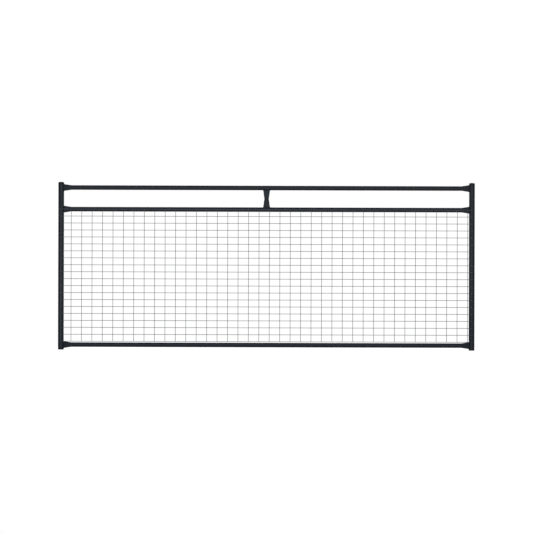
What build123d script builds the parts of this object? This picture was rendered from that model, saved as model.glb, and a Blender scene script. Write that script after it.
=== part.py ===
from build123d import *
import math
import os

os.makedirs("parts", exist_ok=True)

# Livestock panel gate, in millimetres: two round uprights, three round rails whose crushed ends
# are welded to them, a short brace in the top bay and a sheet of welded wire on the -Y face.
# X runs along the gate and Z is up. The origin is on the ground, midway between the uprights,
# in the plane of their axes.

# Overall sizes
upright_spacing = 3002.6  # between the axes of the two uprights
gate_height = 1225.6  # from the ground to the top of the upper end caps
top_bay_height = 158.1  # between the axes of the top rail and the middle rail

# Tubes
upright_diameter = 42.2
upright_wall = 2.0
rail_diameter = 33.4
rail_wall = 1.6
crush_gap = 1.0  # slit left inside a crushed tube end
rail_taper = 54.0  # length over which a rail end turns from round to flat
brace_waist = 4.0  # round stretch left at the middle of the brace
top_rail_margin = 0.46  # from the flat end of the top rail up to the end of the upright
bottom_rail_margin = 0.46  # from the flat end of the bottom rail down to the end of the upright

# End caps
upper_cap_head = 15.7
lower_cap_head = 10.7
upper_cap_corner = 6.0  # radius between the side and the domed top
upper_cap_dome = 1.6  # rise of the domed top above its corner
lower_cap_edge = 1.0  # chamfer round the foot
spigot_length = 24.0
spigot_wall = 2.4
spigot_gap = 1.4  # between the spigot and the bore of the upright
fin_count = 3
fin_height = 1.6
fin_clearance = 0.05  # between a fin and the bore
fin_pitch = 6.5
first_fin = 5.0  # from the seat of the cap to the first fin

# Welded wire sheet
wire_diameter = 3.43
cross_pitch = 76.2  # between upright wires, along X
line_pitch = 50.8  # between lengthwise wires, along Z
wire_set_down = 0.3  # how far crossing wires are pressed into each other when welded
wire_seat = 0.05  # between a lengthwise wire and the tube that it is tacked to
first_cross_offset = -0.8  # first upright wire from the left upright's axis
wire_tip = 6.0  # how far lengthwise wires run past the right upright's axis
last_cross_clearance = 4.0  # least gap between the last upright wire and the right upright's side
last_line_clearance = 5.0  # least gap between the last lengthwise wire and the bottom rail
jog_land = 11.0  # straight wire left beside a crossing where a wire bends back to the middle rail
jog_radius = 25.0

# Welds
weld_leg = 4.0  # along the crushed tube, and across its flat faces
weld_toe = 1.2  # round the rounded edges of the crushed end, where little weld shows
weld_lip = 0.6  # thickness of the outer edge of a weld
tack_base_radius = 3.8
tack_top_radius = 2.2
tack_height = 1.9
tack_root = 2.0  # how far a tack reaches back beside the crown of its tube

# Largest number of nodes that one family of wires is shared out over
wire_nodes = 20
# Length of a cutter or a blank over its width, so that it passes right through what it cuts
cutter_run = 4

# Working values that follow from the sizes above
upright_radius = upright_diameter / 2
rail_radius = rail_diameter / 2
wire_radius = wire_diameter / 2
crushed_thickness = 2 * rail_wall + crush_gap
# A crushed tube keeps its girth: two flats and two half rounds as long as the circle was.
crushed_height = (math.pi * rail_diameter - (math.pi - 2) * crushed_thickness) / 2
upright_bottom = lower_cap_head
upright_top = gate_height - upper_cap_head
bottom_rail_z = upright_bottom + bottom_rail_margin + crushed_height / 2
top_rail_z = upright_top - top_rail_margin - crushed_height / 2
middle_rail_z = top_rail_z - top_bay_height
rail_clear_length = upright_spacing - upright_diameter
brace_clear_length = top_bay_height - rail_diameter
brace_taper = (brace_clear_length - brace_waist) / 2
# Stock that runs on into the tube it is coped to, before the cope is cut
cope_stock = rail_radius / 2

left_x = -upright_spacing / 2
right_x = upright_spacing / 2
first_cross_x = left_x + first_cross_offset
last_cross_limit = right_x - upright_radius - last_cross_clearance - wire_radius
cross_count = int((last_cross_limit - first_cross_x) / cross_pitch) + 1
cross_xs = [first_cross_x + cross_pitch * i for i in range(cross_count)]
last_line_limit = bottom_rail_z + rail_radius + last_line_clearance + wire_radius
line_count = int((middle_rail_z - last_line_limit) / line_pitch) + 1
line_zs = [middle_rail_z - line_pitch * i for i in range(line_count)]

# Depths of the wires' axes: on the uprights, and set back on the middle rail
line_y = -(upright_radius + wire_seat + wire_radius)
rail_line_y = -(rail_radius + wire_seat + wire_radius)
layer_step = wire_diameter - wire_set_down
cross_y = line_y - layer_step
rail_cross_y = rail_line_y - layer_step

along_x = Rot(0, 90, 0)
along_y = Rot(90, 0, 0)
standing = (Align.CENTER, Align.CENTER, Align.MIN)
hanging = (Align.CENTER, Align.CENTER, Align.MAX)
back_from_front = (Align.CENTER, Align.MIN, Align.CENTER)


def slot_size(distance, taper):
    """Height and thickness of a crushed tube at a distance from its flat end."""
    share = distance / taper
    radius = crushed_thickness / 2 + (rail_diameter - crushed_thickness) / 2 * share
    half_flat = (crushed_height - crushed_thickness) / 2 * (1 - share)
    return 2 * (half_flat + radius), 2 * radius


def slot_face(x, height, thickness):
    """Slot across the X axis, tall in Z and thin in Y."""
    return Plane.YZ.offset(x) * SlotOverall(height, thickness, rotation=90)


def half_round(x, z, radius, way):
    """Half circle across the X axis, from front to back over its top or under its bottom."""
    return ThreePointArc((x, -radius, z), (x, 0, z + way * radius), (x, radius, z))


def taper_solid(diameter, height, thickness, length):
    """Solid between a circle at X 0 and a slot at the length: two cones and two flat triangles."""
    big, small = diameter / 2, thickness / 2
    rise = height / 2 - small
    rounds = [half_round(0, 0, big, way) for way in (1, -1)]
    ends = [half_round(length, way * rise, small, way) for way in (1, -1)]
    flats = [Line((length, side * small, -rise), (length, side * small, rise)) for side in (-1, 1)]
    faces = [Face.make_surface_from_curves(wide, tight) for wide, tight in zip(rounds, ends)]
    for side in (-1, 1):
        corners = [(0, side * big, 0), (length, side * small, rise), (length, side * small, -rise)]
        faces.append(Face(Wire.make_polygon(corners)))
    faces.append(Face(Wire(rounds)))
    faces.append(Face(Wire(ends + flats)))
    return Solid(Shell(faces))


def crushed_body(taper, clear_length, inset):
    """Solid of a tube along X with both ends crushed flat, inset from its outer surface."""
    diameter = rail_diameter - 2 * inset
    height = crushed_height - 2 * inset
    thickness = crushed_thickness - 2 * inset
    half = clear_length / 2
    end = Pos(half - taper, 0, 0) * taper_solid(diameter, height, thickness, taper)
    end += extrude(slot_face(half, height, thickness), cope_stock, dir=(1, 0, 0))
    body = along_x * Cylinder(diameter / 2, clear_length - 2 * taper)
    return body + end + Rot(0, 0, 180) * end


def crushed_tube(taper, clear_length):
    """Hollow tube along X with both ends crushed flat, not yet coped."""
    return crushed_body(taper, clear_length, 0) - crushed_body(taper, clear_length, rail_wall)


def end_weld(taper, clear_length):
    """Fillet weld round the +X end of a crushed tube, not yet cut by the tube that it joins."""
    half = clear_length / 2
    height, thickness = slot_size(weld_leg, taper)
    foot = slot_face(half, crushed_height + 2 * weld_toe, crushed_thickness + 2 * weld_leg)
    lip = slot_face(half - weld_leg, height + 2 * weld_lip, thickness + 2 * weld_lip)
    weld = loft([foot, lip], ruled=True)
    weld += extrude(foot, cope_stock, dir=(1, 0, 0))
    return weld - crushed_body(taper, clear_length, 0)


def spigot(outward):
    """Hollow finned spigot of an end cap, from its seat at Z 0 into the bore, away from outward."""
    bore_radius = upright_radius - upright_wall
    radius = bore_radius - spigot_gap
    solid = Cylinder(radius, spigot_length, align=standing)
    for i in range(fin_count):
        fin = Cylinder(bore_radius - fin_clearance, fin_height, align=standing)
        solid += Pos(0, 0, first_fin + fin_pitch * i) * fin
    hollow = Cylinder(radius - spigot_wall, spigot_length, align=standing)
    solid -= Pos(0, 0, spigot_wall) * hollow
    return solid if outward < 0 else Rot(180, 0, 0) * solid


def upper_cap():
    """Domed end cap, with its seat at Z 0 and its head above it."""
    side = upper_cap_head - upper_cap_dome - upper_cap_corner
    flat = upright_radius - upper_cap_corner
    diagonal = upper_cap_corner * math.sqrt(0.5)
    shoulder = (flat, side + upper_cap_corner)
    outline = Line((0, 0), (upright_radius, 0))
    outline += Line((upright_radius, 0), (upright_radius, side))
    outline += ThreePointArc((upright_radius, side), (flat + diagonal, side + diagonal), shoulder)
    dome_radius = (flat**2 + upper_cap_dome**2) / (2 * upper_cap_dome)
    half_flat = flat / 2
    half_rise = math.sqrt(dome_radius**2 - half_flat**2) - (dome_radius - upper_cap_dome)
    outline += ThreePointArc(shoulder, (half_flat, shoulder[1] + half_rise), (0, upper_cap_head))
    outline += Line((0, upper_cap_head), (0, 0))
    head = revolve(Plane.XZ * make_face(outline), Axis.Z)
    return head + spigot(1)


def lower_cap():
    """Flat foot cap, with its seat at Z 0 and its head below it."""
    head = Cylinder(upright_radius, lower_cap_head, align=hanging)
    head = chamfer(head.edges().group_by(Axis.Z)[0], lower_cap_edge)
    return head + spigot(-1)


def upright_at(x):
    """Hollow upright on its axis."""
    length = upright_top - upright_bottom
    tube = Cylinder(upright_radius, length) - Cylinder(upright_radius - upright_wall, length)
    return Pos(x, 0, upright_bottom + length / 2) * tube


def upright_blank():
    """Solid rods where the two uprights stand, for copes and tacks."""
    rod = Cylinder(upright_radius, gate_height, align=standing)
    return [Pos(x, 0, 0) * rod for x in (left_x, right_x)]


def rail_blank(z, length):
    """Solid rod where a rail lies, for copes and tacks."""
    return Pos(0, 0, z) * along_x * Cylinder(rail_radius, length)


def swept_wire(points):
    """Round wire along straight runs joined by bends."""
    path = FilletPolyline(*points, radius=jog_radius) if len(points) > 2 else Line(*points)
    start = Plane(origin=path @ 0, z_dir=path % 0)
    return sweep(start * Circle(wire_radius), path=path)


def cross_wire(bent):
    """Upright wire at X 0, notched where the lengthwise wires are pressed into it."""
    top, bottom = line_zs[0] + wire_radius, line_zs[-1] - wire_radius
    points = [(0, cross_y, bottom), (0, cross_y, top)]
    if bent:
        low_bend = (0, cross_y, line_zs[1] + jog_land)
        high_bend = (0, rail_cross_y, line_zs[0] - jog_land)
        points = [points[0], low_bend, high_bend, (0, rail_cross_y, top)]
    wire = swept_wire(points)
    for i, z in enumerate(line_zs):
        y = rail_line_y if bent and i == 0 else line_y
        wire -= Pos(0, y, z) * along_x * Cylinder(wire_radius, cutter_run * wire_diameter)
    return wire


def line_wire(bent):
    """Lengthwise wire at Z 0, and its middle set back to the middle rail if it is bent."""
    tip_left, tip_right = cross_xs[0] - wire_radius, right_x + wire_tip
    points = [(tip_left, line_y, 0), (tip_right, line_y, 0)]
    if bent:
        left_jog = (cross_xs[0] + jog_land, line_y, 0), (cross_xs[1] - jog_land, rail_line_y, 0)
        right_jog = (cross_xs[-2] + jog_land, rail_line_y, 0), (cross_xs[-1] - jog_land, line_y, 0)
        points = [points[0], *left_jog, *right_jog, points[1]]
    return swept_wire(points)


def tack(crown_y, crown, wire_y):
    """Two small weld fillets, above and below a lengthwise wire, on a tube's front at X and Z 0."""
    height = tack_height + tack_root
    blob = Pos(0, crown_y + tack_root - height / 2, 0) * along_y
    blob *= Cone(tack_base_radius, tack_top_radius, height)
    wire = Pos(0, wire_y, 0) * along_x * Cylinder(wire_radius, cutter_run * tack_base_radius)
    behind = Box(cutter_run * tack_base_radius, -wire_y, wire_diameter, align=back_from_front)
    return blob - crown - wire - Pos(0, wire_y, 0) * behind


def shared_out(wires, stem):
    """Wires in order, shared out evenly over numbered nodes."""
    nodes = min(wire_nodes, len(wires))
    shares = {}
    for i in range(nodes):
        first, last = i * len(wires) // nodes, (i + 1) * len(wires) // nodes
        shares[f"{stem}_{i + 1:02d}"] = wires[first:last]
    return shares


def frame_parts():
    """Uprights, rails, brace, end caps and the welds between them."""
    parts = {"left_upright": [upright_at(left_x)], "right_upright": [upright_at(right_x)]}
    copes = upright_blank()
    rail = crushed_tube(rail_taper, rail_clear_length) - [Pos(0, 0, -gate_height / 2) * c for c in copes]
    right_weld = end_weld(rail_taper, rail_clear_length) - Pos(0, 0, -gate_height / 2) * copes[1]
    welds = [right_weld, Rot(0, 0, 180) * right_weld]
    for name, z in (("top", top_rail_z), ("middle", middle_rail_z), ("bottom", bottom_rail_z)):
        parts[f"{name}_rail"] = [Pos(0, 0, z) * rail]
        parts[f"{name}_rail_welds"] = [Pos(0, 0, z) * weld for weld in welds]
    on_end = Pos(0, 0, middle_rail_z + top_bay_height / 2) * Rot(0, 90, 0)
    rods = [rail_blank(z, cutter_run * crushed_height) for z in (middle_rail_z, top_rail_z)]
    parts["centre_brace"] = [on_end * crushed_tube(brace_taper, brace_clear_length) - rods]
    low_weld = on_end * end_weld(brace_taper, brace_clear_length) - rods
    high_weld = on_end * Rot(0, 0, 180) * end_weld(brace_taper, brace_clear_length) - rods
    parts["brace_welds"] = [low_weld, high_weld]
    for name, x in (("left", left_x), ("right", right_x)):
        parts[f"{name}_top_cap"] = [Pos(x, 0, upright_top) * upper_cap()]
        parts[f"{name}_foot_cap"] = [Pos(x, 0, upright_bottom) * lower_cap()]
    return parts


def sheet_parts():
    """Lengthwise wires, upright wires and the tacks that hold the sheet to the frame."""
    straight_line, bent_line = line_wire(False), line_wire(True)
    lines = [Pos(0, 0, z) * (bent_line if i == 0 else straight_line) for i, z in enumerate(line_zs)]
    straight_cross, bent_cross = cross_wire(False), cross_wire(True)
    end_xs = (cross_xs[0], cross_xs[-1])
    crosses = [Pos(x, 0, 0) * (straight_cross if x in end_xs else bent_cross) for x in cross_xs]
    parts = shared_out(lines, "line_wire") | shared_out(crosses, "cross_wires")
    on_upright = tack(-upright_radius, Cylinder(upright_radius, upright_diameter), line_y)
    on_rail = tack(-rail_radius, along_x * Cylinder(rail_radius, rail_diameter), rail_line_y)
    parts["left_upright_tacks"] = [Pos(left_x, 0, z) * on_upright for z in line_zs]
    parts["right_upright_tacks"] = [Pos(right_x, 0, z) * on_upright for z in line_zs]
    parts["middle_rail_tacks"] = [Pos(x, 0, middle_rail_z) * on_rail for x in cross_xs[1:-1]]
    return parts


for node, pieces in (frame_parts() | sheet_parts()).items():
    solids = [solid for piece in pieces for solid in piece.solids()]
    export_step(Compound(children=solids) if len(solids) > 1 else solids[0], f"parts/{node}.step")
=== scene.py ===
"""Builds the detailed pieces, finishes, lights and camera of a livestock panel gate."""

import logging
import math
import random
from collections.abc import Sequence
from dataclasses import dataclass, field
from enum import Enum
from functools import cache

import bpy
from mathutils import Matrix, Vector


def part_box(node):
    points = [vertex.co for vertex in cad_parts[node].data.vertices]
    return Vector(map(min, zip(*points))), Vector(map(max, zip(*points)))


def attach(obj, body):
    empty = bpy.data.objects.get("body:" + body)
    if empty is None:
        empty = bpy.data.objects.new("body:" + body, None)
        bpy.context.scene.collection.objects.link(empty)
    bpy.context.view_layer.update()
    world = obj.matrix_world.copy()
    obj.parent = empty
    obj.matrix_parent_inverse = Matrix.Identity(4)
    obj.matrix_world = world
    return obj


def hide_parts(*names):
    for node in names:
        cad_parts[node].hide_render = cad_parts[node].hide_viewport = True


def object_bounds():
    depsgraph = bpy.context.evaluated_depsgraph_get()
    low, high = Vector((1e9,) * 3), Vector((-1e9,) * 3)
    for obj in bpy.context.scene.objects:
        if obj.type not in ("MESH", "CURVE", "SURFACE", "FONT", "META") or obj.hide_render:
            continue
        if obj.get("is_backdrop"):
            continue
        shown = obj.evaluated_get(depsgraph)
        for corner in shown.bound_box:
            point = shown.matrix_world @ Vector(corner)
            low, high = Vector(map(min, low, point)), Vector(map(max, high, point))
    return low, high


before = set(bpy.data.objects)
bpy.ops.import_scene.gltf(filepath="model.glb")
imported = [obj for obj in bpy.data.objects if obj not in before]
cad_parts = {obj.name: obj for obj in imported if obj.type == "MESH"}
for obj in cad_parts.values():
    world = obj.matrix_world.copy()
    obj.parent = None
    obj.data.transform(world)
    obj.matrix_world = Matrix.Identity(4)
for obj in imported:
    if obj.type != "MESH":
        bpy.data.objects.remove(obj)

log = logging.getLogger("panel_gate")

MM = 0.001
ROOT_BODY = "root"

Point = tuple[float, float, float]
Ring = list[Point]
Colour = tuple[float, float, float]
Value = bpy.types.NodeSocket | float


class Side(Enum):
    """Which end of the gate a piece belongs to; the value is its direction along X."""

    LEFT = -1
    RIGHT = 1

    @property
    def word(self) -> str:
        """The side's name as the frame's nodes spell it."""
        return self.name.lower()


class Level(Enum):
    """The three rails, by the name that the frame's nodes use."""

    TOP = "top"
    MIDDLE = "middle"
    BOTTOM = "bottom"


class Slot(Enum):
    """The record's material slots."""

    TUBE = "coated_tube"
    WIRE = "coated_wire"
    WELD = "coated_weld"
    CAP = "end_cap_plastic"


class Across(Enum):
    """The plane that a tube's section lies in, as the axes of run, thickness and spread."""

    RAIL = (0, 1, 2)
    BRACE = (2, 1, 0)


# ---------------------------------------------------------------------------
# Mesh code
# ---------------------------------------------------------------------------


@dataclass
class Shell:
    """A mesh in the making: rings of points, joined ring to ring."""

    points: list[Point] = field(default_factory=list)
    faces: list[tuple[int, ...]] = field(default_factory=list)

    def add_rings(self, rings: Sequence[Ring], loop: bool = False) -> None:
        """Joins rings of equal length into a closed skin whose faces look outward.

        Args:
            rings: The rings in order; each is a closed row of points.
            loop: True joins the last ring to the first, and False closes both ends with a fan.
        """
        start, count = len(self.points), len(rings[0])
        first_face = len(self.faces)
        for ring in rings:
            self.points.extend(ring)
        last = len(rings) if loop else len(rings) - 1
        for i in range(last):
            a, b = start + i * count, start + (i + 1) % len(rings) * count
            for j in range(count):
                k = (j + 1) % count
                self.faces.append((a + j, a + k, b + k, b + j))
        if not loop:
            self._fan(rings[0], start, flip=True)
            self._fan(rings[-1], start + (len(rings) - 1) * count, flip=False)
        if self._volume(first_face) < 0:
            self.faces[first_face:] = [face[::-1] for face in self.faces[first_face:]]

    def _volume(self, first_face: int) -> float:
        """Measures what a closed skin holds, which is below zero if its faces look inward.

        Args:
            first_face: The index of the skin's first face; the skin runs on to the last one.

        Returns:
            Six times the volume.
        """
        home = Vector(self.points[self.faces[first_face][0]])
        total = 0.0
        for face in self.faces[first_face:]:
            corners = [Vector(self.points[i]) - home for i in face]
            for near, far in zip(corners[1:], corners[2:]):
                total += corners[0].dot(near.cross(far))
        return total

    def _fan(self, ring: Ring, first: int, flip: bool) -> None:
        """Closes a ring with triangles to its middle.

        Args:
            ring: The ring's points.
            first: The index of its first point.
            flip: True turns the triangles over.
        """
        count = len(ring)
        middle = tuple(sum(p[axis] for p in ring) / count for axis in range(3))
        self.points.append(middle)
        hub = len(self.points) - 1
        for j in range(count):
            a, b = first + j, first + (j + 1) % count
            self.faces.append((b, a, hub) if flip else (a, b, hub))

    def piece(self, name: str, crease: float = 40.0) -> bpy.types.Object:
        """Makes the object, smooth apart from edges sharper than the crease.

        Args:
            name: The object's name.
            crease: The angle in degrees from which an edge stays sharp.

        Returns:
            The new object, linked to the scene.
        """
        mesh = bpy.data.meshes.new(name)
        mesh.from_pydata(self.points, [], self.faces)
        mesh.polygons.foreach_set("use_smooth", [True] * len(mesh.polygons))
        mesh.update()
        mesh.set_sharp_from_angle(angle=math.radians(crease))
        made = bpy.data.objects.new(name, mesh)
        bpy.context.scene.collection.objects.link(made)
        return made


def turns(count: int) -> list[float]:
    """Angles spread evenly round a full turn."""
    return [2 * math.pi * i / count for i in range(count)]


def upright_ring(x: float, z: float, radius: float, count: int) -> Ring:
    """A level ring round an upright's axis.

    Args:
        x: The axis's place along the gate.
        z: The ring's height.
        radius: The ring's radius.
        count: How many points.

    Returns:
        The ring.
    """
    return [(x + radius * math.cos(turn), radius * math.sin(turn), z) for turn in turns(count)]


def swept_rings(path: Sequence[Vector], radii: Sequence[float], count: int) -> list[Ring]:
    """Rings square to a path that lies in one plane through a row axis.

    Args:
        path: The points that the middle follows.
        radii: The ring's radius at each point.
        count: How many points a ring has.

    Returns:
        The rings in order.
    """
    rings = []
    run = (path[-1] - path[0]).normalized()
    side = Vector((0, 1, 0)).cross(run).normalized()
    for i, (middle, radius) in enumerate(zip(path, radii)):
        ahead = path[min(i + 1, len(path) - 1)] - path[max(i - 1, 0)]
        across = ahead.normalized().cross(side).normalized()
        spokes = [math.cos(turn) * across + math.sin(turn) * side for turn in turns(count)]
        rings.append([tuple(middle + radius * spoke) for spoke in spokes])
    return rings


def ease(share: float) -> float:
    """Smooth step, level at both ends."""
    held = min(max(share, 0.0), 1.0)
    return held * held * (3 - 2 * held)


# ---------------------------------------------------------------------------
# Shader effects that several finishes share
# ---------------------------------------------------------------------------


@dataclass(frozen=True)
class Socket:
    """One named number socket of a node group, with its starting value."""

    name: str
    value: float = 0.0


class Effect:
    """A shader node group, built once and placed in each material with its own values."""

    title = "effect"
    inputs: tuple[Socket, ...] = ()
    outputs: tuple[Socket, ...] = ()
    drift_detail = 3.0
    drift_span = (0.3, 0.7)

    def __init__(self) -> None:
        """Makes the group with its sockets, and fills it."""
        self.tree = bpy.data.node_groups.new(self.title, "ShaderNodeTree")
        new_socket = self.tree.interface.new_socket
        for way, sockets in (("INPUT", self.inputs), ("OUTPUT", self.outputs)):
            for socket in sockets:
                made = new_socket(socket.name, in_out=way, socket_type="NodeSocketFloat")
                made.default_value = socket.value
        self.source = self.tree.nodes.new("NodeGroupInput")
        self.sink = self.tree.nodes.new("NodeGroupOutput")
        self.fill()

    def fill(self) -> None:
        """Adds the group's own nodes."""

    def node(self, kind: str, **settings: object) -> bpy.types.Node:
        """Adds a node.

        Args:
            kind: Blender's name for the node type.
            settings: Values for the node's own properties.

        Returns:
            The node.
        """
        made = self.tree.nodes.new(kind)
        for key, value in settings.items():
            setattr(made, key, value)
        return made

    def join(self, start: bpy.types.NodeSocket, end: bpy.types.NodeSocket) -> None:
        """Links two sockets."""
        self.tree.links.new(start, end)

    def math(self, operation: str, first: Value, second: Value) -> bpy.types.NodeSocket:
        """Adds a Math node.

        Args:
            operation: The node's operation.
            first: A socket or a number for its first input.
            second: A socket or a number for its second input.

        Returns:
            The result socket.
        """
        made = self.node("ShaderNodeMath", operation=operation)
        for place, value in enumerate((first, second)):
            if isinstance(value, (int, float)):
                made.inputs[place].default_value = value
            else:
                self.join(value, made.inputs[place])
        return made.outputs[0]

    def noise(
        self, scale: Value, detail: float, stretch: Point | None = None
    ) -> bpy.types.NodeSocket:
        """Adds object-space noise.

        Args:
            scale: A socket or a number: how many bumps to the metre.
            detail: The number of finer layers.
            stretch: Scale factors for the three axes, or None.

        Returns:
            The noise's Fac socket.
        """
        place = self.node("ShaderNodeTexCoord").outputs["Object"]
        if stretch is not None:
            mapping = self.node("ShaderNodeMapping")
            mapping.inputs["Scale"].default_value = stretch
            self.join(place, mapping.inputs["Vector"])
            place = mapping.outputs["Vector"]
        made = self.node("ShaderNodeTexNoise")
        made.inputs["Detail"].default_value = detail
        self.join(place, made.inputs["Vector"])
        if isinstance(scale, (int, float)):
            made.inputs["Scale"].default_value = scale
        else:
            self.join(scale, made.inputs["Scale"])
        return made.outputs["Fac"]

    def ramp(self, value: bpy.types.NodeSocket, low: float, high: float) -> bpy.types.NodeSocket:
        """Adds a clamped ramp from low to high.

        Args:
            value: The socket to read.
            low: The value that becomes 0.
            high: The value that becomes 1.

        Returns:
            The result socket.
        """
        made = self.node("ShaderNodeMapRange", interpolation_type="SMOOTHSTEP")
        made.inputs["From Min"].default_value = low
        made.inputs["From Max"].default_value = high
        self.join(value, made.inputs["Value"])
        return made.outputs["Result"]

    def put_drift(self, scale: Value) -> None:
        """Sends a slow drift from 0 to 1 to the group's Drift.

        Args:
            scale: How many patches to the metre.
        """
        drift = self.ramp(self.noise(scale, self.drift_detail), *self.drift_span)
        self.join(drift, self.sink.inputs["Drift"])

    def put_mask(self, first: Value, second: Value) -> None:
        """Sends two masks' product, times the Amount, to the group's Mask.

        Args:
            first: The first mask.
            second: The second mask.
        """
        mask = self.math("MULTIPLY", first, second)
        mask = self.math("MULTIPLY", mask, self.source.outputs["Amount"])
        self.join(mask, self.sink.inputs["Mask"])


class CoatPeel(Effect):
    """Orange peel of a baked powder coat, with a slow drift of its tone."""

    title = "coat_peel"
    inputs = (Socket("Peel per metre", 420.0), Socket("Drift per metre", 7.0))
    outputs = (Socket("Height"), Socket("Drift"))
    fine_ratio = 3.1
    coarse_share = 0.7
    coarse_detail = 1.0
    fine_detail = 2.0

    def fill(self) -> None:
        """Mixes two sizes of peel, and adds the drift."""
        per_metre = self.source.outputs["Peel per metre"]
        coarse = self.noise(per_metre, self.coarse_detail)
        fine = self.noise(self.math("MULTIPLY", per_metre, self.fine_ratio), self.fine_detail)
        coarse = self.math("MULTIPLY", coarse, self.coarse_share)
        fine = self.math("MULTIPLY", fine, 1 - self.coarse_share)
        self.join(self.math("ADD", coarse, fine), self.sink.inputs["Height"])
        self.put_drift(self.source.outputs["Drift per metre"])


class SettledDust(Effect):
    """Fine dust on what faces up, thicker in patches."""

    title = "settled_dust"
    inputs = (Socket("Amount", 0.3), Socket("Patches per metre", 45.0))
    outputs = (Socket("Mask"),)
    upward_span = (0.15, 1.0)
    patch_detail = 6.0
    patch_span = (0.35, 0.75)

    def fill(self) -> None:
        """Multiplies an upward mask by patchy noise."""
        normal = self.node("ShaderNodeNewGeometry").outputs["Normal"]
        split = self.node("ShaderNodeSeparateXYZ")
        self.join(normal, split.inputs[0])
        upward = self.ramp(split.outputs["Z"], *self.upward_span)
        patchy = self.noise(self.source.outputs["Patches per metre"], self.patch_detail)
        self.put_mask(upward, self.ramp(patchy, *self.patch_span))


class EdgeRub(Effect):
    """Where handling has rubbed outer edges, broken up by noise."""

    title = "edge_rub"
    inputs = (Socket("Amount", 0.5), Socket("Breakup per metre", 260.0))
    outputs = (Socket("Mask"),)
    reach = 0.9 * MM
    samples = 4
    edge_span = (0.02, 0.2)
    broken_detail = 4.0
    broken_span = (0.42, 0.62)

    def fill(self) -> None:
        """Compares the rounded normal with the surface's own."""
        rounded = self.node("ShaderNodeBevel", samples=self.samples)
        rounded.inputs["Radius"].default_value = self.reach
        normal = self.node("ShaderNodeNewGeometry").outputs["Normal"]
        agree = self.node("ShaderNodeVectorMath", operation="DOT_PRODUCT")
        self.join(rounded.outputs["Normal"], agree.inputs[0])
        self.join(normal, agree.inputs[1])
        edge = self.ramp(self.math("SUBTRACT", 1.0, agree.outputs["Value"]), *self.edge_span)
        breakup = self.noise(self.source.outputs["Breakup per metre"], self.broken_detail)
        self.put_mask(edge, self.ramp(breakup, *self.broken_span))


class FineScuffs(Effect):
    """Sparse fine scuffs that run along one direction."""

    title = "fine_scuffs"
    inputs = (Socket("Amount", 0.4), Socket("Scuffs per metre", 60.0))
    outputs = (Socket("Mask"),)
    stretch = (0.08, 1.0, 1.0)
    crest_detail = 8.0
    crest_span = (0.66, 0.72)
    patches_per_metre = 5.0
    patch_detail = 2.0
    patch_span = (0.52, 0.64)

    def fill(self) -> None:
        """Keeps only the crests of a stretched noise, in patches."""
        per_metre = self.source.outputs["Scuffs per metre"]
        lines = self.noise(per_metre, self.crest_detail, self.stretch)
        patchy = self.noise(self.patches_per_metre, self.patch_detail)
        self.put_mask(self.ramp(lines, *self.crest_span), self.ramp(patchy, *self.patch_span))


class MouldGrain(Effect):
    """Fine spark-eroded grain of a moulded plastic cap."""

    title = "mould_grain"
    inputs = (Socket("Grain per metre", 2200.0),)
    outputs = (Socket("Height"), Socket("Drift"))
    grain_detail = 3.0
    drift_per_metre = 60.0

    def fill(self) -> None:
        """Cells and noise for the height, and the drift."""
        place = self.node("ShaderNodeTexCoord").outputs["Object"]
        cells = self.node("ShaderNodeTexVoronoi", feature="F1")
        self.join(place, cells.inputs["Vector"])
        per_metre = self.source.outputs["Grain per metre"]
        self.join(per_metre, cells.inputs["Scale"])
        fine = self.noise(per_metre, self.grain_detail)
        self.join(self.math("ADD", cells.outputs["Distance"], fine), self.sink.inputs["Height"])
        self.put_drift(self.drift_per_metre)


@cache
def effect_tree(kind: type[Effect]) -> bpy.types.NodeTree:
    """The one node group of an effect, made when it is first asked for."""
    return kind().tree


# ---------------------------------------------------------------------------
# Finishes
# ---------------------------------------------------------------------------


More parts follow.
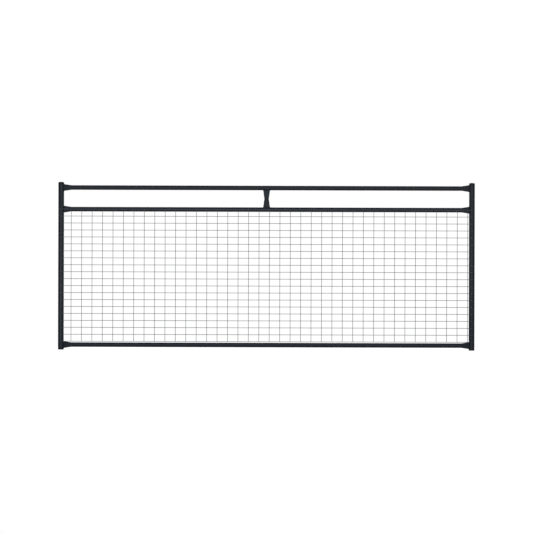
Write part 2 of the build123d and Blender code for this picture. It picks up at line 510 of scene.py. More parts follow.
@dataclass
class Palette:
    """A material's node tree while it is put together."""

    material: bpy.types.Material

    @classmethod
    def named(cls, name: str) -> "Palette":
        """Makes an empty material with a Principled shader.

        Args:
            name: The material's name.

        Returns:
            Its palette.
        """
        made = bpy.data.materials.new(name)
        made.use_nodes = True
        return cls(made)

    @property
    def tree(self) -> bpy.types.NodeTree:
        """The material's node tree."""
        return self.material.node_tree

    @property
    def shader(self) -> bpy.types.Node:
        """The material's Principled shader."""
        return self.tree.nodes["Principled BSDF"]

    def effect(self, kind: type[Effect], **values: float) -> bpy.types.Node:
        """Places an effect's node group.

        Args:
            kind: The effect.
            values: Its inputs, with spaces written as underscores.

        Returns:
            The group node.
        """
        made = self.tree.nodes.new("ShaderNodeGroup")
        made.node_tree = effect_tree(kind)
        for key, value in values.items():
            made.inputs[key.replace("_", " ")].default_value = value
        return made

    def mix(
        self,
        mask: bpy.types.NodeSocket,
        under: bpy.types.NodeSocket | Colour,
        over: bpy.types.NodeSocket | Colour,
    ) -> bpy.types.NodeSocket:
        """Mixes two colours by a mask.

        Args:
            mask: 0 shows the colour under, and 1 the colour over.
            under: A socket or a colour.
            over: A socket or a colour.

        Returns:
            The mixed colour.
        """
        made = self.tree.nodes.new("ShaderNodeMix")
        made.data_type = "RGBA"
        self.tree.links.new(mask, made.inputs["Factor"])
        for name, value in (("A", under), ("B", over)):
            socket = next(s for s in made.inputs if s.name == name and s.type == "RGBA")
            if isinstance(value, tuple):
                socket.default_value = (*value, 1.0)
            else:
                self.tree.links.new(value, socket)
        return next(s for s in made.outputs if s.type == "RGBA")

    def level(self, mask: bpy.types.NodeSocket, low: float, high: float) -> bpy.types.NodeSocket:
        """Turns a mask into a number between two levels.

        Args:
            mask: The mask, from 0 to 1.
            low: The level where the mask is 0.
            high: The level where the mask is 1.

        Returns:
            The level's socket.
        """
        made = self.tree.nodes.new("ShaderNodeMapRange")
        made.inputs["To Min"].default_value = low
        made.inputs["To Max"].default_value = high
        self.tree.links.new(mask, made.inputs["Value"])
        return made.outputs["Result"]

    def add(
        self, first: bpy.types.NodeSocket, second: bpy.types.NodeSocket
    ) -> bpy.types.NodeSocket:
        """Adds two numbers.

        Args:
            first: The first number's socket.
            second: The second number's socket.

        Returns:
            The sum's socket.
        """
        made = self.tree.nodes.new("ShaderNodeMath")
        self.tree.links.new(first, made.inputs[0])
        self.tree.links.new(second, made.inputs[1])
        return made.outputs[0]

    def bump(self, height: bpy.types.NodeSocket, depth: float) -> None:
        """Bumps the surface by a height.

        Args:
            height: The height's socket, from 0 to 1.
            depth: What a height of 1 stands for, in metres.
        """
        made = self.tree.nodes.new("ShaderNodeBump")
        made.inputs["Distance"].default_value = depth
        self.tree.links.new(height, made.inputs["Height"])
        self.tree.links.new(made.outputs["Normal"], self.shader.inputs["Normal"])

    def feed(self, socket: str, value: bpy.types.NodeSocket) -> None:
        """Links a value to one of the shader's sockets."""
        self.tree.links.new(value, self.shader.inputs[socket])


@dataclass(frozen=True)
class Finish:
    """What the gate's finishes share: a drifting tone, fine relief, wear and dust."""

    name: str
    deep: Colour
    pale: Colour
    rubbed: Colour
    gloss_low: float
    gloss_high: float
    relief_depth: float
    dust_amount: float
    scuffs: float = 0.0
    rub: float = 0.0
    dust: Colour = (0.150, 0.145, 0.135)

    def relief(self, palette: Palette) -> bpy.types.Node:
        """Places the effect that gives the surface's height and drift."""
        raise NotImplementedError

    def material(self) -> bpy.types.Material:
        """Builds the material.

        Returns:
            The finished material.
        """
        palette = Palette.named(self.name)
        relief = self.relief(palette)
        colour = palette.mix(relief.outputs["Drift"], self.deep, self.pale)
        for kind, amount in ((FineScuffs, self.scuffs), (EdgeRub, self.rub)):
            if amount:
                worn = palette.effect(kind, Amount=amount)
                colour = palette.mix(worn.outputs["Mask"], colour, self.rubbed)
        dust = palette.effect(SettledDust, Amount=self.dust_amount)
        colour = palette.mix(dust.outputs["Mask"], colour, self.dust)
        palette.feed("Base Color", colour)
        gloss = palette.level(relief.outputs["Drift"], self.gloss_low, self.gloss_high)
        palette.feed("Roughness", palette.add(gloss, dust.outputs["Mask"]))
        palette.bump(relief.outputs["Height"], self.relief_depth)
        return palette.material


@dataclass(frozen=True)
class PowderCoat(Finish):
    """Black baked powder coat over steel."""

    deep: Colour = (0.0205, 0.0228, 0.0272)
    pale: Colour = (0.0270, 0.0298, 0.0350)
    rubbed: Colour = (0.070, 0.072, 0.075)
    gloss_low: float = 0.50
    gloss_high: float = 0.62
    relief_depth: float = 0.05 * MM
    dust_amount: float = 0.10
    scuffs: float = 0.35
    peel: float = 420.0

    def relief(self, palette: Palette) -> bpy.types.Node:
        """Places the coat's orange peel."""
        return palette.effect(CoatPeel, Peel_per_metre=self.peel)


@dataclass(frozen=True)
class MouldedPlastic(Finish):
    """Black polyethylene with a fine moulded grain."""

    deep: Colour = (0.0090, 0.0095, 0.0105)
    pale: Colour = (0.0130, 0.0135, 0.0150)
    rubbed: Colour = (0.030, 0.030, 0.032)
    gloss_low: float = 0.55
    gloss_high: float = 0.64
    relief_depth: float = 0.03 * MM
    dust_amount: float = 0.07
    rub: float = 0.20

    def relief(self, palette: Palette) -> bpy.types.Node:
        """Places the mould's grain."""
        return palette.effect(MouldGrain)


@dataclass
class Wardrobe:
    """The finish of each material slot; the wire's and the weld's coats are lighter than the
    tube's, as painted highlight.
    """

    tube: PowderCoat = PowderCoat("coat_on_tube")
    # The wire's coat is far lighter than the tube's black coat: painted highlight, standing in for
    # the light that the thin wires catch.
    wire: PowderCoat = PowderCoat(
        "coat_on_wire",
        deep=(0.125, 0.131, 0.141),
        pale=(0.158, 0.165, 0.176),
        gloss_low=0.40,
        gloss_high=0.48,
        relief_depth=0.02 * MM,
        scuffs=0.0,
        peel=900.0,
    )
    # The weld's coat is lighter than the tube's: painted highlight for the light that the weld
    # ripples catch; its rubbed edges are real wear.
    weld: PowderCoat = PowderCoat(
        "coat_on_weld",
        deep=(0.032, 0.035, 0.041),
        pale=(0.042, 0.046, 0.053),
        gloss_low=0.42,
        gloss_high=0.50,
        rub=0.3,
        peel=700.0,
    )
    cap: MouldedPlastic = MouldedPlastic("cap_polyethylene")

    def __post_init__(self) -> None:
        """Builds each finish once."""
        finishes = (self.tube, self.wire, self.weld, self.cap)
        self.materials = {slot: finish.material() for slot, finish in zip(Slot, finishes)}

    def dress(self, piece: bpy.types.Object, slot: Slot, *nodes: str) -> bpy.types.Object:
        """Gives a piece its finish and its body, and hides the frame's nodes that it stands for.

        Args:
            piece: The object.
            slot: Its material slot.
            nodes: The frame's nodes that it replaces.

        Returns:
            The piece.
        """
        piece.data.materials.append(self.materials[slot])
        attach(piece, ROOT_BODY)
        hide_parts(*nodes)
        log.info("%s: %d faces, for %s", piece.name, len(piece.data.polygons), ", ".join(nodes))
        return piece


# ---------------------------------------------------------------------------
# Frame of round tube
# ---------------------------------------------------------------------------


@dataclass
class Upright:
    """A round upright, hollow, with a lightly rounded rim at each end."""

    side: Side
    wall: float = 2.0 * MM
    rim: float = 0.4 * MM
    count: int = 96

    def __post_init__(self) -> None:
        """Reads the upright's place from the frame."""
        low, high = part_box(self.node)
        self.x = (low.x + high.x) / 2
        self.radius = (high.y - low.y) / 2
        self.bottom, self.top = low.z, high.z

    @property
    def node(self) -> str:
        """The frame's node."""
        return f"{self.side.word}_upright"

    def build(self) -> bpy.types.Object:
        """Makes the tube's outer and inner walls and its two rims.

        Returns:
            The upright.
        """
        inner = self.radius - self.wall
        wall = [
            (self.radius - self.rim, self.bottom),
            (self.radius, self.bottom + self.rim),
            (self.radius, self.top - self.rim),
            (self.radius - self.rim, self.top),
            (inner + self.rim, self.top),
            (inner, self.top - self.rim),
            (inner, self.bottom + self.rim),
            (inner + self.rim, self.bottom),
        ]
        shell = Shell()
        rings = [upright_ring(self.x, z, radius, self.count) for radius, z in wall]
        shell.add_rings(rings, loop=True)
        return shell.piece(f"{self.node}_tube", crease=30)


@dataclass
class CrushedTube:
    """A round tube whose two ends are crushed flat and coped to round tubes across them."""

    node: str
    across: Across
    coped_radius: float
    taper: float
    wall: float = 1.6 * MM
    slit: float = 1.0 * MM
    facet_turn: float = math.radians(20)
    count: int = 72
    taper_steps: int = 18
    dish: float = 0.35 * MM

    def __post_init__(self) -> None:
        """Reads the tube's place and sizes from the frame."""
        low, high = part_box(self.node)
        run, thin, spread = self.across.value
        self.middle = [(a + b) / 2 for a, b in zip(low, high)]
        self.radius = (high[thin] - low[thin]) / 2
        self.end_radius = self.wall + self.slit / 2
        self.spread_height = high[spread] - low[spread]
        self.rise = self.spread_height / 2 - self.end_radius
        # The cope's two horns reach further than its middle, so the clear length is a little less.
        sag = self.coped_radius - math.sqrt(self.coped_radius**2 - self.end_radius**2)
        self.half = (high[run] - low[run]) / 2 - sag

    def section(self, share: float) -> tuple[float, float]:
        """The section at a share of the taper from the flat end.

        Args:
            share: 0 at the flat end, and 1 or more where the tube is round.

        Returns:
            The section's round radius and half its flat.
        """
        held = min(share, 1.0)
        return self.end_radius + (self.radius - self.end_radius) * held, self.rise * (1 - held)

    def place(self, along: float, thin: float, spread: float) -> Point:
        """Turns the tube's own coordinates into a point.

        Args:
            along: From the tube's middle, along it.
            thin: From its axis, the way that its ends are crushed.
            spread: From its axis, the way that its ends are spread.

        Returns:
            The point.
        """
        run_axis, thin_axis, spread_axis = self.across.value
        point = list(self.middle)
        point[run_axis] += along
        point[thin_axis] += thin
        point[spread_axis] += spread
        return tuple(point)

    def coped(self, thin: float) -> float:
        """How far from the middle the coped end stands, at a distance off its flat's plane."""
        return self.half + self.coped_radius - math.sqrt(self.coped_radius**2 - thin**2)

    def ring(self, distance: float, way: int, inset: float) -> Ring:
        """One ring of the tube.

        Args:
            distance: From the flat end, along the tube.
            way: 1 for the end towards plus, and -1 for the other.
            inset: How far the ring lies inside the outer surface.

        Returns:
            The ring.
        """
        share = distance / self.taper
        radius, half_flat = self.section(share)
        edge = math.sin(self.facet_turn)
        dish = self.dish * math.sin(math.pi * min(share, 1.0))
        points = []
        for turn in turns(self.count):
            thin, spread = math.cos(turn), math.sin(turn)
            reach = max(-1.0, min(1.0, spread / edge))
            hollow = dish * max(0.0, 1 - reach * reach) * (1 if thin > 0 else -1)
            off = (radius - inset) * thin - hollow
            up = (radius - inset) * spread + half_flat * reach
            along = self.coped(off) if distance == 0 else self.half - distance
            points.append(self.place(way * along, off, up))
        return points

    def build(self) -> bpy.types.Object:
        """Makes the tube's outer and inner walls, joined at the coped ends.

        Returns:
            The tube.
        """
        distances = [self.taper * i / self.taper_steps for i in range(self.taper_steps + 1)]
        stations = [(d, -1) for d in distances] + [(d, 1) for d in reversed(distances)]
        outer = [self.ring(d, way, 0.0) for d, way in stations]
        inner = [self.ring(d, way, self.wall) for d, way in reversed(stations)]
        shell = Shell()
        shell.add_rings(outer + inner, loop=True)
        return shell.piece(f"{self.node}_tube", crease=50)


@dataclass
class EndWeld:
    """A rippled fillet weld round one crushed and coped tube end."""

    tube: CrushedTube
    way: int
    leg: float = 3.9 * MM
    toe: float = 1.15 * MM
    ripple: float = 2.3 * MM
    ripple_depth: float = 0.16
    least_swell: float = 0.93
    leg_gain: float = 1.2
    leg_start: float = 0.1
    steps_per_ripple: int = 8
    profile_steps: int = 8
    root: float = 0.4 * MM
    crown: float = 0.34
    ripple_sweep: float = 1.6

    def perimeter(
        self, place: float, radius: float, half_flat: float
    ) -> tuple[float, float, float, float]:
        """A point of a slot's outline.

        Args:
            place: From 0 to 1 round the flat end's outline.
            radius: The slot's round radius.
            half_flat: Half the slot's flat.

        Returns:
            Its thin and spread coordinates, and the outline's outward normal there.
        """
        end_radius, end_flat = self.tube.section(0.0)
        bend, flat = math.pi * end_radius, 2 * end_flat
        at = place * 2 * (bend + flat)
        side = 1 if at < bend + flat else -1
        at %= bend + flat
        if at < flat:
            return side * radius, side * half_flat * (2 * at / flat - 1), side, 0.0
        turn = (at - flat) / end_radius
        thin, spread = side * math.cos(turn), side * math.sin(turn)
        return radius * thin, side * half_flat + radius * spread, thin, spread

    def ring(self, place: float, phase: float, swell: float) -> Ring:
        """The weld's section at one place round the tube end.

        Args:
            place: From 0 to 1 round the outline.
            phase: The ripple's phase there.
            swell: How much fuller than usual the weld is there.

        Returns:
            A closed row of points.
        """
        tube = self.tube
        thin, spread, out_thin, out_spread = self.perimeter(place, *tube.section(0.0))
        facing = ease(abs(out_thin) * self.leg_gain - self.leg_start)
        leg = (self.toe + (self.leg - self.toe) * facing) * swell
        up_thin, up_spread = thin + out_thin * leg, spread + out_spread * leg
        over = self.perimeter(place, *tube.section(leg / tube.taper))
        inside = (thin - out_thin * self.root, spread - out_spread * self.root)
        root = (tube.coped(thin) + self.root, *inside)
        on_tube = Vector((tube.half - leg, over[0], over[1]))
        on_post = Vector((tube.coped(up_thin), up_thin, up_spread))
        corner = Vector((tube.coped(thin), thin, spread))
        middle = (on_tube + on_post) / 2
        points = [root]
        for i in range(self.profile_steps + 1):
            share = i / self.profile_steps
            arch = math.sin(math.pi * share)
            wave = math.cos(phase + self.ripple_sweep * arch)
            bulge = (self.crown + self.ripple_depth * wave) * arch
            points.append(tuple(on_tube.lerp(on_post, share) + (middle - corner) * bulge))
        return [tube.place(self.way * along, a, b) for along, a, b in points]

    def add_to(self, shell: Shell) -> None:
        """Adds the weld to a mesh.

        Args:
            shell: The mesh in the making.
        """
        end_radius, end_flat = self.tube.section(0.0)
        length = 2 * (math.pi * end_radius + 2 * end_flat)
        ripples = round(length / self.ripple)
        steps = ripples * self.steps_per_ripple
        chance = random.Random(f"{self.tube.node}{self.way}")
        swells = [chance.uniform(self.least_swell, 1.0) for _ in range(ripples)]
        rings = []
        for i in range(steps):
            at = i / self.steps_per_ripple
            near, share = int(at), at - int(at)
            swell = swells[near] + (swells[(near + 1) % ripples] - swells[near]) * ease(share)
            rings.append(self.ring(i / steps, 2 * math.pi * at, swell))
        shell.add_rings(rings, loop=True)


@dataclass
class EndCap:
    """A moulded cap: a head on the tube's end and a finned spigot inside it."""

    node: str
    upright: Upright
    domed: bool
    corner: float = 6.0 * MM
    dome: float = 1.6 * MM
    foot_edge: float = 1.0 * MM
    seam: float = 0.35 * MM
    spigot_gap: float = 1.4 * MM
    spigot_wall: float = 2.4 * MM
    fin_clearance: float = 0.05 * MM
    fin_count: int = 3
    fin_height: float = 1.6 * MM
    fin_pitch: float = 6.5 * MM
    first_fin: float = 5.0 * MM
    mould_line: float = 0.12 * MM
    mould_line_width: float = math.radians(2.0)
    gate_mark: float = 2.2 * MM
    gate_depth: float = 0.5 * MM
    gate_lip: float = 0.05 * MM
    gate_shares: tuple[float, float] = (0.8, 0.3)
    dome_shares: tuple[float, ...] = (0.8, 0.6, 0.4, 0.28)
    arc_steps: int = 10
    count: int = 120

    def __post_init__(self) -> None:
        """Reads the cap's place from the frame."""
        low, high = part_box(self.node)
        self.seat = self.upright.top if self.domed else self.upright.bottom
        self.outward = 1 if self.domed else -1
        self.head = high.z - self.seat if self.domed else self.seat - low.z
        self.spigot = self.seat - low.z if self.domed else high.z - self.seat
        self.bore = self.upright.radius - self.upright.wall

    def spigot_profile(self) -> list[tuple[float, float]]:
        """The spigot's outline, from its hollow's floor out to the seat.

        Returns:
            The radius and height of each point.
        """
        outer = self.bore - self.spigot_gap
        inner = outer - self.spigot_wall
        profile = [(inner, -self.spigot_wall), (inner, -self.spigot), (outer, -self.spigot)]
        fin = self.bore - self.fin_clearance
        for i in reversed(range(self.fin_count)):
            top = -(self.first_fin + self.fin_pitch * i)
            low = top - self.fin_height
            profile += [(outer, low), (fin, low + self.fin_height / 2), (fin, top), (outer, top)]
        return [*profile, (outer, 0.0)]

    def head_profile(self) -> list[tuple[float, float]]:
        """The head's outline, from the seat out to its middle.

        Returns:
            The radius and height of each point.
        """
        full = self.upright.radius - self.mould_line
        profile = [(full - self.seam, 0.0), (full, self.seam)]
        if not self.domed:
            flat = full - self.foot_edge
            edge = self.head - self.foot_edge
            return [*profile, (full, edge), (flat, self.head), (flat / 2, self.head)]
        side = self.head - self.dome - self.corner
        flat = full - self.corner
        for i in range(self.arc_steps + 1):
            turn = math.pi / 2 * i / self.arc_steps
            out, up = self.corner * math.cos(turn), self.corner * math.sin(turn)
            profile.append((flat + out, side + up))
        for share in self.dome_shares:
            profile.append((flat * share, self.head - self.dome * share * share))
        profile.append((self.gate_mark, self.head - self.gate_lip))
        for share in self.gate_shares:
            profile.append((self.gate_mark * share, self.head - self.gate_depth))
        return profile

    def build(self) -> bpy.types.Object:
        """Makes the cap, with its mould line down both sides of the head.

        Returns:
            The cap.
        """
        rings = []
        for radius, height in self.spigot_profile() + self.head_profile():
            ring = []
            for turn in turns(self.count):
                off_line = abs(math.remainder(turn, math.pi)) / self.mould_line_width
                line = self.mould_line * max(0.0, 1 - off_line) if height > self.seam / 2 else 0.0
                wide = radius + line
                ring.append((
                    self.upright.x + wide * math.cos(turn),
                    wide * math.sin(turn),
                    self.seat + self.outward * height,
                ))
            rings.append(ring)
        if not self.domed:
            rings.reverse()
        shell = Shell()
        shell.add_rings(rings)
        return shell.piece(f"{self.node}_moulding", crease=35)


@dataclass
class GateFrame:
    """Uprights, rails, brace, caps and the welds that join them."""

    wardrobe: Wardrobe
    rail_taper: float = 54.0 * MM
    brace_waist: float = 4.0 * MM
    brace_steps: int = 20

    def build(self) -> None:
        """Builds and dresses every piece of the frame."""
        uprights = [Upright(side) for side in Side]
        for upright in uprights:
            self.wardrobe.dress(upright.build(), Slot.TUBE, upright.node)
            for node, domed in (("top_cap", True), ("foot_cap", False)):
                cap = EndCap(f"{upright.side.word}_{node}", upright, domed)
                self.wardrobe.dress(cap.build(), Slot.CAP, cap.node)
        radius = uprights[0].radius
        rails = {
            level: CrushedTube(f"{level.value}_rail", Across.RAIL, radius, self.rail_taper)
            for level in Level
        }
        for level, rail in rails.items():
            self.finish_tube(rail, f"{level.value}_rail_welds")
        top, middle = rails[Level.TOP], rails[Level.MIDDLE]
        clear = top.middle[2] - middle.middle[2] - 2 * top.radius
        taper = (clear - self.brace_waist) / 2
        brace = CrushedTube(
            "centre_brace", Across.BRACE, top.radius, taper, taper_steps=self.brace_steps
        )
        self.finish_tube(brace, "brace_welds")

    def finish_tube(self, tube: CrushedTube, weld_node: str) -> None:
        """Builds and dresses a crushed tube and its two end welds.

        Args:
            tube: The tube.
            weld_node: The frame's node of its welds.
        """
        self.wardrobe.dress(tube.build(), Slot.TUBE, tube.node)
        shell = Shell()
        for way in (-1, 1):
            EndWeld(tube, way).add_to(shell)
        self.wardrobe.dress(shell.piece(f"{weld_node}_beads", crease=70), Slot.WELD, weld_node)


# ---------------------------------------------------------------------------
# Welded wire sheet
# ---------------------------------------------------------------------------


@dataclass
class WireSheet:
    """The sheet's lengthwise and upright wires, their crossings and the tacks to the frame."""

    wardrobe: Wardrobe
    count: int = 16
    cut_edge: float = 0.25 * MM
    jog_land: float = 11.0 * MM
    jog_steps: int = 14
    nugget: Point = (1.95 * MM, 0.80 * MM, 1.95 * MM)
    nugget_steps: int = 6
    least_lean: float = 0.9
    least_swell: float = 0.94
    tack_length: tuple[float, float] = (3.0 * MM, 3.8 * MM)
    tack_height: tuple[float, float] = (2.4 * MM, 2.9 * MM)
    tack_depth: float = 0.95
    tack_shift: float = 0.4 * MM
    tack_steps: int = 9

    def __post_init__(self) -> None:
        """Reads the wires' places from the frame."""
        names = sorted(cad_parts)
        self.line_nodes = [n for n in names if n.startswith("line_wire")]
        self.cross_nodes = [n for n in names if n.startswith("cross_wires")]
        low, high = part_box(self.line_nodes[1])
        self.radius = (high.z - low.z) / 2
        self.tip_left, self.tip_right = low.x, high.x
        self.line_y = (low.y + high.y) / 2
        self.rail_line_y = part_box(self.line_nodes[0])[1].y - self.radius
        low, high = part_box(self.cross_nodes[0])
        self.cross_y = low.y + self.radius
        self.rail_cross_y = high.y - self.radius
        self.line_zs = [sum(p.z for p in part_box(n)) / 2 for n in self.line_nodes]
        self.cross_xs = []
        for node in self.cross_nodes:
            low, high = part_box(node)
            self.cross_xs += [low.x + self.radius, high.x - self.radius]

    def wire(self, shell: Shell, path: Sequence[Vector]) -> None:
        """Adds one wire with both ends cut and their edges softened by the coat.

        Args:
            shell: The mesh in the making.
            path: The points that the wire's middle follows.
        """
        start = (path[1] - path[0]).normalized() * self.cut_edge
        end = (path[-1] - path[-2]).normalized() * self.cut_edge
        points = [path[0], path[0] + start, *path[1:-1], path[-1] - end, path[-1]]
        radii = [self.radius] * len(points)
        radii[0] = radii[-1] = self.radius - self.cut_edge
        shell.add_rings(swept_rings(points, radii, self.count))

    def jog(self, start: Vector, end: Vector) -> list[Vector]:
        """Points of an easy bend from one depth to another.

        Args:
            start: Where the bend begins.
            end: Where it ends.

        Returns:
            The bend's points, its ends among them.
        """
        points = []
        for i in range(self.jog_steps + 1):
            share = i / self.jog_steps
            point = start.lerp(end, share)
            point.y = start.y + (end.y - start.y) * ease(share)
            points.append(point)
        return points

    def line_path(self, index: int) -> list[Vector]:
        """The middle line of a lengthwise wire.

        Args:
            index: The wire's place, from 0 at the top.

        Returns:
            The line's points.
        """
        z, front, back = self.line_zs[index], self.line_y, self.rail_line_y
        first, last = Vector((self.tip_left, front, z)), Vector((self.tip_right, front, z))
        if index:
            return [first, last]
        xs, land = self.cross_xs, self.jog_land
        left = (Vector((xs[0] + land, front, z)), Vector((xs[1] - land, back, z)))
        right = (Vector((xs[-2] + land, back, z)), Vector((xs[-1] - land, front, z)))
        return [first, *self.jog(*left), *self.jog(*right), last]

    def cross_path(self, index: int) -> list[Vector]:
        """The middle line of an upright wire, from its foot up.

        Args:
            index: The wire's place, from 0 at the left.

        Returns:
            The line's points.
        """
        x = self.cross_xs[index]
        foot = Vector((x, self.cross_y, self.line_zs[-1] - self.radius))
        head_z = self.line_zs[0] + self.radius
        if index in (0, len(self.cross_xs) - 1):
            return [foot, Vector((x, self.cross_y, head_z))]
        bend = (
            Vector((x, self.cross_y, self.line_zs[1] + self.jog_land)),
            Vector((x, self.rail_cross_y, self.line_zs[0] - self.jog_land)),
        )
        return [foot, *self.jog(*bend), Vector((x, self.rail_cross_y, head_z))]

    def blob(
        self, shell: Shell, middle: Point, size: Point, rough: random.Random, steps: int
    ) -> None:
        """Adds a small rounded blob of weld.

        Args:
            shell: The mesh in the making.
            middle: The blob's middle.
            size: Its half sizes along X, Y and Z.
            rough: The source of its unevenness.
            steps: How many rings it has.
        """
        rings = []
        lean = rough.uniform(self.least_lean, 1.0)
        for i in range(1, steps):
            turn = math.pi * i / steps
            wide, along = math.sin(turn) * lean, -math.cos(turn)
            ring = []
            for j in range(2 * steps):
                round_turn = math.pi * j / steps
                grow = rough.uniform(self.least_swell, 1.0)
                ring.append((
                    middle[0] + size[0] * along,
                    middle[1] + size[1] * wide * grow * math.cos(round_turn),
                    middle[2] + size[2] * wide * grow * math.sin(round_turn),
                ))
            rings.append(ring)
        shell.add_rings(rings)

    def depth_at(self, row: int, column: int) -> tuple[float, float]:
        """Depths of the two wires where they cross.

        Args:
            row: The lengthwise wire's place.
            column: The upright wire's place.

        Returns:
            The depth of the lengthwise wire and of the upright one.
        """
        if row == 0 and 0 < column < len(self.cross_xs) - 1:
            return self.rail_line_y, self.rail_cross_y
        return self.line_y, self.cross_y

    def build_lines(self) -> None:
        """Builds the lengthwise wires, each with the fused metal at its crossings."""
        for row, node in enumerate(self.line_nodes):
            shell = Shell()
            self.wire(shell, self.line_path(row))
            rough = random.Random(node)
            for column, x in enumerate(self.cross_xs):
                behind, ahead = self.depth_at(row, column)
                middle = (x, (behind + ahead) / 2, self.line_zs[row])
                self.blob(shell, middle, self.nugget, rough, self.nugget_steps)
            self.wardrobe.dress(shell.piece(f"{node}_rod"), Slot.WIRE, node)

    def build_crosses(self) -> None:
        """Builds the upright wires, one piece each."""
        per_node = len(self.cross_xs) // len(self.cross_nodes)
        for index in range(len(self.cross_xs)):
            node = self.cross_nodes[index // per_node]
            shell = Shell()
            self.wire(shell, self.cross_path(index))
            self.wardrobe.dress(shell.piece(f"cross_wire_{index + 1:02d}_rod"), Slot.WIRE, node)

    def build_tacks(self) -> None:
        """Builds the tacks that hold the sheet to the uprights and the middle rail."""
        for side in Side:
            node = f"{side.word}_upright_tacks"
            low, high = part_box(node)
            spots = [((low.x + high.x) / 2, z) for z in self.line_zs]
            self.tack_row(node, spots)
        self.tack_row("middle_rail_tacks", [(x, self.line_zs[0]) for x in self.cross_xs[1:-1]])

    def tack_row(self, node: str, spots: Sequence[tuple[float, float]]) -> None:
        """Builds one node's tacks.

        Args:
            node: The frame's node.
            spots: X and Z of each tack.
        """
        low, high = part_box(node)
        shell = Shell()
        rough = random.Random(node)
        depth = (high.y - low.y) * self.tack_depth
        for x, z in spots:
            size = (rough.uniform(*self.tack_length), depth, rough.uniform(*self.tack_height))
            shift = rough.uniform(-self.tack_shift, self.tack_shift)
            self.blob(shell, (x + shift, high.y, z + shift / 2), size, rough, self.tack_steps)
        self.wardrobe.dress(shell.piece(f"{node}_beads", crease=60), Slot.WELD, node)

    def build(self) -> None:
        """Builds and dresses the whole sheet."""
        self.build_lines()
        self.build_crosses()
        self.build_tacks()


# ---------------------------------------------------------------------------
# Studio
# ---------------------------------------------------------------------------


@dataclass(frozen=True)
class Softbox:
    """A large rectangular light aimed at the gate's middle."""

    name: str
    place: Point
    size: tuple[float, float]
    power: float
    colour: Colour

    def hang(self, target: Vector) -> None:
        """Makes the light.

        Args:
            target: The point that it faces.
        """
        lamp = bpy.data.lights.new(self.name, "AREA")
        lamp.shape = "RECTANGLE"
        lamp.size, lamp.size_y = self.size
        lamp.energy = self.power
        lamp.color = self.colour
        made = bpy.data.objects.new(self.name, lamp)
        bpy.context.scene.collection.objects.link(made)
        made.location = self.place
        made.rotation_euler = (target - Vector(self.place)).to_track_quat("-Z", "Y").to_euler()
        made.visible_camera = False


def show_apart(
    tree: bpy.types.NodeTree, lit: bpy.types.Node, seen: bpy.types.Node, output: str
) -> None:
    """Gives the camera one shader and every other ray another.

    Args:
        tree: The node tree of both shaders.
        lit: What lights the gate.
        seen: What the camera sees.
        output: The tree's output node.
    """
    path = tree.nodes.new("ShaderNodeLightPath")
    choose = tree.nodes.new("ShaderNodeMixShader")
    tree.links.new(path.outputs["Is Camera Ray"], choose.inputs["Fac"])
    tree.links.new(lit.outputs[0], choose.inputs[1])
    tree.links.new(seen.outputs[0], choose.inputs[2])
    tree.links.new(choose.outputs[0], tree.nodes[output].inputs["Surface"])


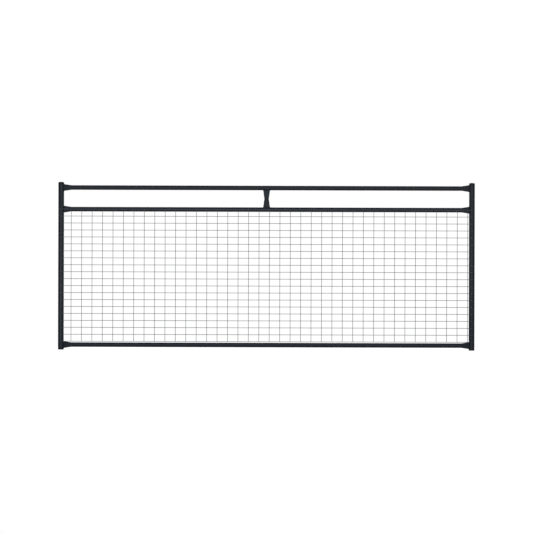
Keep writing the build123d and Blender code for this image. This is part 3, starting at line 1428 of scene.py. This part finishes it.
@dataclass
class Studio:
    """Floor, surroundings, lights and camera."""

    low: Vector
    high: Vector
    lens: float = 250.0
    sensor: float = 36.0
    sight: float = 500.0
    frame_width: float = 3.8925
    roll: float = math.radians(0.160)
    aim_drop: float = 2.0 * MM
    aim_right: float = 0.73 * MM
    floor_margin: float = 0.9
    floor_gap: float = 0.3 * MM
    floor_depth: float = 10 * MM
    floor_colours: tuple[Colour, Colour] = ((0.08, 0.08, 0.08), (0.10, 0.10, 0.10))
    floor_roughness: float = 0.9
    floor_peel: float = 90.0
    floor_drift: float = 1.5
    white: tuple[float, float, float, float] = (1.0, 1.0, 1.0, 1.0)
    surround: Colour = (0.62, 0.68, 0.80)
    surround_strength: float = 0.08
    floor_bounce: float = 0.30
    floor_glow: float = 0.97
    floor_lift: float = 0.16
    boxes: tuple[Softbox, ...] = (
        Softbox("front_softbox", (0.0, -12.0, 0.8), (15.0, 1.6), 225.0, (1.0, 0.97, 0.86)),
        Softbox("high_softbox", (0.0, -10.0, 6.5), (15.0, 2.5), 440.0, (0.56, 0.73, 1.0)),
        Softbox("low_softbox", (0.0, -4.0, -1.2), (10.0, 1.6), 48.0, (1.0, 0.99, 0.97)),
        Softbox("rear_softbox", (0.0, 9.0, 2.6), (12.0, 3.0), 480.0, (0.86, 0.92, 1.0)),
    )

    @property
    def target(self) -> Vector:
        """The gate's middle."""
        return (self.low + self.high) / 2

    def lay_floor(self) -> None:
        """Makes the pale floor as a thin slab with a soft grain."""
        low = Vector((self.low.x - self.floor_margin, self.low.y - self.floor_margin, 0))
        high = Vector((self.high.x + self.floor_margin, self.high.y + self.floor_margin, 0))
        top, under = -self.floor_gap, -self.floor_gap - self.floor_depth
        corners = [(low.x, low.y), (high.x, low.y), (high.x, high.y), (low.x, high.y)]
        shell = Shell()
        shell.add_rings([[(x, y, z) for x, y in corners] for z in (under, top)])
        floor = shell.piece("studio_floor")
        floor.data.materials.append(self.floor_paint())
        floor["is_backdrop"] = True

    def floor_paint(self) -> bpy.types.Material:
        """Makes the floor's paint, whose glow shows white and whose bounce is dimmer.

        Returns:
            The material.
        """
        palette = Palette.named("floor_paint")
        peel = palette.effect(
            CoatPeel, Peel_per_metre=self.floor_peel, Drift_per_metre=self.floor_drift
        )
        palette.feed("Base Color", palette.mix(peel.outputs["Drift"], *self.floor_colours))
        seen = palette.shader
        seen.inputs["Roughness"].default_value = self.floor_roughness
        seen.inputs["Emission Color"].default_value = self.white
        seen.inputs["Emission Strength"].default_value = self.floor_glow
        dim = palette.tree.nodes.new("ShaderNodeBsdfPrincipled")
        dim.inputs["Base Color"].default_value = (self.floor_bounce,) * 3 + (1.0,)
        dim.inputs["Roughness"].default_value = self.floor_roughness
        dim.inputs["Emission Color"].default_value = (*self.surround, 1.0)
        dim.inputs["Emission Strength"].default_value = self.floor_lift
        show_apart(palette.tree, dim, seen, "Material Output")
        return palette.material

    def surround_room(self) -> None:
        """Makes a white background that lights the gate more softly than it shows."""
        world = bpy.data.worlds.new("studio_room")
        world.use_nodes = True
        tree = world.node_tree
        seen = tree.nodes["Background"]
        seen.inputs["Color"].default_value = self.white
        seen.inputs["Strength"].default_value = 1.0
        lit = tree.nodes.new("ShaderNodeBackground")
        lit.inputs["Color"].default_value = (*self.surround, 1.0)
        lit.inputs["Strength"].default_value = self.surround_strength
        show_apart(tree, lit, seen, "World Output")
        bpy.context.scene.world = world

    def place_camera(self) -> None:
        """Sets a long lens square to the gate's front, rolled by a hair."""
        data = bpy.data.cameras.new("camera")
        data.lens, data.sensor_width = self.lens, self.sensor
        data.clip_end = self.sight
        camera = bpy.data.objects.new("camera", data)
        bpy.context.scene.collection.objects.link(camera)
        back = self.frame_width * self.lens / self.sensor
        x, z = self.target.x + self.aim_right, self.target.z - self.aim_drop
        camera.location = (x, self.low.y - back, z)
        camera.rotation_euler = (math.pi / 2, -self.roll, 0.0)
        bpy.context.scene.camera = camera

    def build(self) -> None:
        """Sets up the whole studio."""
        self.place_camera()
        self.lay_floor()
        self.surround_room()
        for box in self.boxes:
            box.hang(self.target)
        bpy.context.scene.view_settings.view_transform = "Standard"


def main() -> None:
    logging.basicConfig(level=logging.INFO, format="%(name)s %(message)s")
    low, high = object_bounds()
    Studio(low, high).build()
    wardrobe = Wardrobe()
    GateFrame(wardrobe).build()
    WireSheet(wardrobe).build()


if __name__ == "__main__":
    main()
